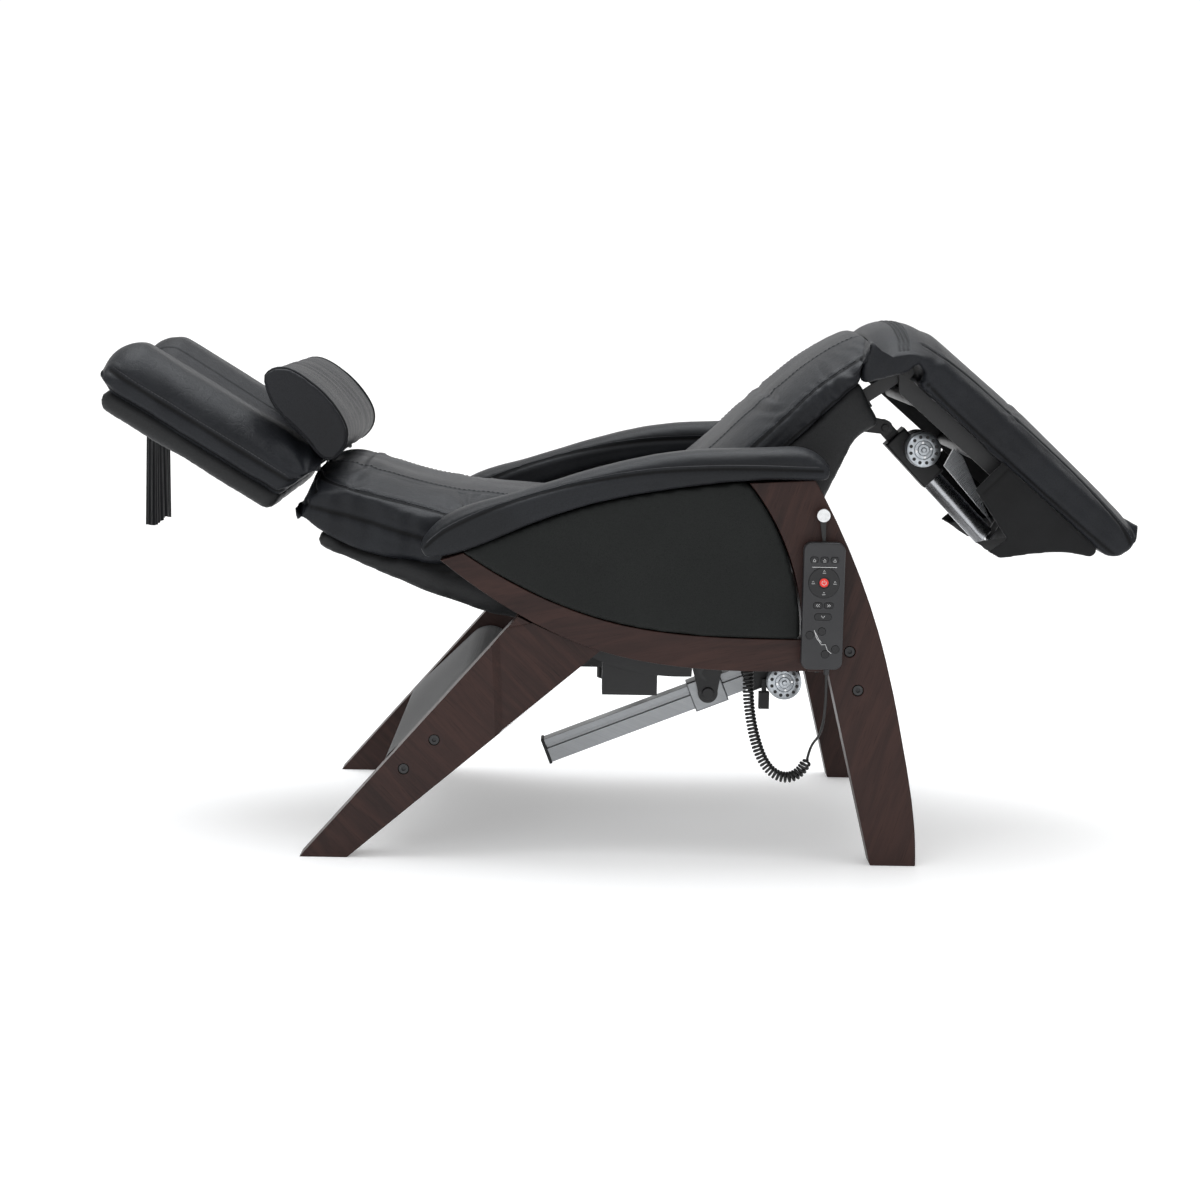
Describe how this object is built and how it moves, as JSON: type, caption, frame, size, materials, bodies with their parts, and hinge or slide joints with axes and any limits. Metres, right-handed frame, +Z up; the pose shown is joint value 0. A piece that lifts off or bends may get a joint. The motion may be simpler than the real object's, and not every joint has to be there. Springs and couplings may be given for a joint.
{
  "type": "zero gravity recliner",
  "caption": "Powered reclining lounge chair with a curved wooden base, black leather cushions, linear actuators for back and leg rest, neck pillow and corded massage handset.",
  "frame": {"origin": "on the floor under the middle of the chair in its fully reclined rest pose", "axes": "+X towards the feet, +Y to the sitter's left, +Z up"},
  "size_m": [1.6753, 0.8002, 0.861],
  "materials": {
    "wood": "satin",
    "leather": "satin",
    "panel_leather": "matte",
    "fabric": "matte",
    "black_metal": "satin",
    "aluminium": "satin",
    "zinc": "satin",
    "black_plastic": "matte",
    "handset_plastic": "satin",
    "key_plastic": "matte",
    "red_key": "gloss",
    "cord_rubber": "satin"
  },
  "bodies": {
    "base": {"front_leg_right": "wood", "rear_leg_right": "wood", "curved_rail_right": "wood", "arm_pad_right": "leather", "side_panel_right": "panel_leather", "front_leg_left": "wood", "rear_leg_left": "wood", "curved_rail_left": "wood", "arm_pad_left": "leather", "side_panel_left": "panel_leather", "front_crossbeam": "wood", "rear_crossbeam": "black_plastic", "crossbeam_bolts": "black_metal", "actuator_clevis": "black_metal", "handset_hook": "zinc", "handset_socket": "black_plastic", "handset_cord": "cord_rubber", "handset_coil": "cord_rubber"},
    "seat": {"back_cushion": "leather", "seat_cushion": "leather", "back_shell": "fabric", "seat_shell": "fabric", "hip_bracket_right": "black_metal", "hip_bracket_left": "black_metal", "recline_bracket": "black_metal", "leg_actuator_mount": "black_metal", "control_box": "black_plastic", "air_pump": "black_plastic", "knee_lugs": "black_metal"},
    "leg_rest": {"leg_frame": "black_metal", "leg_cushion": "leather", "leg_skirt": "fabric", "leg_bracket": "black_metal", "leg_strut": "aluminium"},
    "recline_drive": {"recline_gearbox": "black_plastic", "recline_motor": "zinc", "motor_plug": "black_plastic", "recline_rail": "aluminium", "rail_end_cap": "black_plastic"},
    "recline_carriage": {"recline_slider": "aluminium"},
    "leg_drive": {"leg_gearbox": "black_plastic", "leg_motor": "zinc", "leg_tube": "aluminium"},
    "leg_ram": {"leg_rod": "zinc"},
    "pillow": {"neck_pillow": "leather"},
    "strap": {"pillow_strap": "fabric"},
    "handset": {"handset_case": "handset_plastic", "handset_loop": "cord_rubber"},
    "key_power": {"key_power": "red_key"},
    "key_ring": {"key_ring": "key_plastic"},
    "key_program_1": {"key_program_1": "key_plastic"},
    "key_program_2": {"key_program_2": "key_plastic"},
    "key_program_3": {"key_program_3": "key_plastic"},
    "key_zone_1": {"key_zone_1": "key_plastic"},
    "key_zone_2": {"key_zone_2": "key_plastic"},
    "key_mode": {"key_mode": "key_plastic"},
    "key_back_up": {"key_back_up": "key_plastic"},
    "key_back_down": {"key_back_down": "key_plastic"},
    "key_leg_up": {"key_leg_up": "key_plastic"},
    "key_leg_down": {"key_leg_down": "key_plastic"}
  },
  "joints": [
    {"name": "recline", "type": "hinge", "parent": "base", "child": "seat", "pos_m": [0.0225, 0, 0.43], "axis": [0, 1, 0], "range_deg": [0, 32]},
    {"name": "leg_rest_lift", "type": "hinge", "parent": "seat", "child": "leg_rest", "pos_m": [0.4605, 0, 0.785], "axis": [0, -1, 0], "range_deg": [0, 45]},
    {"name": "recline_drive_pivot", "type": "hinge", "parent": "base", "child": "recline_drive", "pos_m": [0.3305, 0, 0.284], "axis": [0, 1, 0], "range_deg": [-1, 3]},
    {"name": "recline_carriage_slide", "type": "slide", "parent": "recline_drive", "child": "recline_carriage", "axis": [-0.9292, 0, -0.3695], "range_m": [-0.001, 0.145]},
    {"name": "leg_drive_pivot", "type": "hinge", "parent": "seat", "child": "leg_drive", "pos_m": [0.45739, 0, 0.68017], "axis": [0, -1, 0], "range_deg": [-1, 51]},
    {"name": "leg_ram_slide", "type": "slide", "parent": "leg_drive", "child": "leg_ram", "axis": [0.6949, 0, -0.7191], "range_m": [-0.001, 0.078]},
    {"name": "pillow_slide", "type": "slide", "parent": "seat", "child": "pillow", "axis": [-0.8572, 0, 0.515], "range_m": [0, 0.14]},
    {"name": "strap_drop", "type": "slide", "parent": "seat", "child": "strap", "axis": [0, 0, -1], "range_m": [0, 0.14]},
    {"name": "handset_swing", "type": "hinge", "parent": "base", "child": "handset", "pos_m": [0.3195, -0.38, 0.564], "axis": [0, 1, 0], "range_deg": [-12, 12]},
    {"name": "key_power_press", "type": "slide", "parent": "handset", "child": "key_power", "axis": [0, 1, 0], "range_m": [0, 0.0008], "stiffness_N_per_m": 800, "springref_m": -0.0005},
    {"name": "key_ring_press", "type": "slide", "parent": "handset", "child": "key_ring", "axis": [0, 1, 0], "range_m": [0, 0.0008], "stiffness_N_per_m": 800, "springref_m": -0.0005},
    {"name": "key_program_1_press", "type": "slide", "parent": "handset", "child": "key_program_1", "axis": [0, 1, 0], "range_m": [0, 0.0008], "stiffness_N_per_m": 800, "springref_m": -0.0005},
    {"name": "key_program_2_press", "type": "slide", "parent": "handset", "child": "key_program_2", "axis": [0, 1, 0], "range_m": [0, 0.0008], "stiffness_N_per_m": 800, "springref_m": -0.0005},
    {"name": "key_program_3_press", "type": "slide", "parent": "handset", "child": "key_program_3", "axis": [0, 1, 0], "range_m": [0, 0.0008], "stiffness_N_per_m": 800, "springref_m": -0.0005},
    {"name": "key_zone_1_press", "type": "slide", "parent": "handset", "child": "key_zone_1", "axis": [0, 1, 0], "range_m": [0, 0.0008], "stiffness_N_per_m": 800, "springref_m": -0.0005},
    {"name": "key_zone_2_press", "type": "slide", "parent": "handset", "child": "key_zone_2", "axis": [0, 1, 0], "range_m": [0, 0.0008], "stiffness_N_per_m": 800, "springref_m": -0.0005},
    {"name": "key_mode_press", "type": "slide", "parent": "handset", "child": "key_mode", "axis": [0, 1, 0], "range_m": [0, 0.0008], "stiffness_N_per_m": 800, "springref_m": -0.0005},
    {"name": "key_back_up_press", "type": "slide", "parent": "handset", "child": "key_back_up", "axis": [0, 1, 0], "range_m": [0, 0.0008], "stiffness_N_per_m": 800, "springref_m": -0.0005},
    {"name": "key_back_down_press", "type": "slide", "parent": "handset", "child": "key_back_down", "axis": [0, 1, 0], "range_m": [0, 0.0008], "stiffness_N_per_m": 800, "springref_m": -0.0005},
    {"name": "key_leg_up_press", "type": "slide", "parent": "handset", "child": "key_leg_up", "axis": [0, 1, 0], "range_m": [0, 0.0008], "stiffness_N_per_m": 800, "springref_m": -0.0005},
    {"name": "key_leg_down_press", "type": "slide", "parent": "handset", "child": "key_leg_down", "axis": [0, 1, 0], "range_m": [0, 0.0008], "stiffness_N_per_m": 800, "springref_m": -0.0005}
  ],
  "couplings": [
    {"joint": "recline_drive_pivot", "follows": "recline", "ratio": 0.053242},
    {"joint": "recline_carriage_slide", "follows": "recline", "m_per_rad": 0.25154},
    {"joint": "leg_drive_pivot", "follows": "leg_rest_lift", "ratio": 1.1076},
    {"joint": "leg_ram_slide", "follows": "leg_rest_lift", "m_per_rad": 0.096505},
    {"joint": "strap_drop", "follows": "pillow_slide", "ratio": 1}
  ]
}
